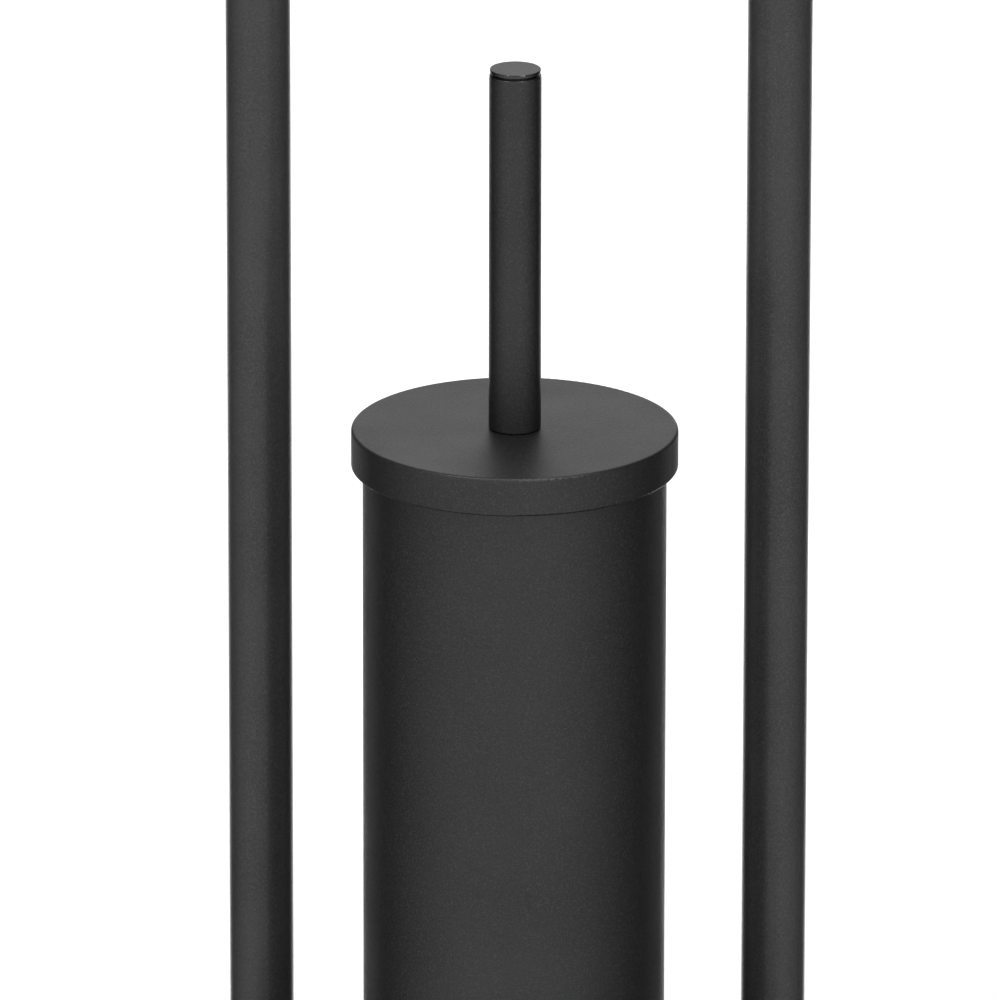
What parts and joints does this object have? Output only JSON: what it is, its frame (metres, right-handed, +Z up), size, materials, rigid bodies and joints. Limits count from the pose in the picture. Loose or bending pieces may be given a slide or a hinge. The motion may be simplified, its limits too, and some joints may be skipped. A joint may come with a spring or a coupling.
{
  "type": "toilet brush holder",
  "caption": "Free-standing toilet brush holder: round canister with lift-out liner and lidded brush on a weighted base plate, backed by a tubular carrying hoop, in matte black powder coat.",
  "frame": {"origin": "on the floor, at the centre of the base plate's footprint", "axes": "+Z up, -Y towards the front where the canister stands, +X to the right as seen from the front"},
  "size_m": [0.21, 0.17, 0.48],
  "materials": {
    "powder_coat": "matte",
    "black_rubber": "matte",
    "zinc_steel": "satin",
    "stainless_steel": "satin",
    "liner_plastic": "satin",
    "core_plastic": "matte",
    "bristle_nylon": "satin"
  },
  "bodies": {
    "stand": {"base_plate": "powder_coat", "foot_front_left": "black_rubber", "foot_front_right": "black_rubber", "foot_rear_left": "black_rubber", "foot_rear_right": "black_rubber", "upright_left": "powder_coat", "upright_right": "powder_coat", "hoop_top": "powder_coat", "coupler_left": "zinc_steel", "coupler_right": "zinc_steel", "leg_insert_left": "zinc_steel", "leg_insert_right": "zinc_steel", "base_screws": "zinc_steel", "canister_pad": "black_rubber", "canister_shell": "powder_coat", "canister_floor": "powder_coat", "canister_nut": "zinc_steel"},
    "liner": {"liner_cup": "liner_plastic"},
    "brush": {"lid": "powder_coat", "handle_gasket": "black_rubber", "handle_tube": "powder_coat", "handle_cap": "powder_coat", "handle_insert": "zinc_steel", "lid_washer": "zinc_steel", "lid_nut": "zinc_steel", "stem": "stainless_steel", "brush_core": "core_plastic", "side_bristles": "bristle_nylon", "tip_bristles": "bristle_nylon"}
  },
  "joints": [
    {"name": "liner_lift", "type": "slide", "parent": "stand", "child": "liner", "axis": [0, 0, 1], "range_m": [0, 0.25]},
    {"name": "brush_lift", "type": "slide", "parent": "liner", "child": "brush", "axis": [0, 0, 1], "range_m": [0, 0.25]}
  ]
}
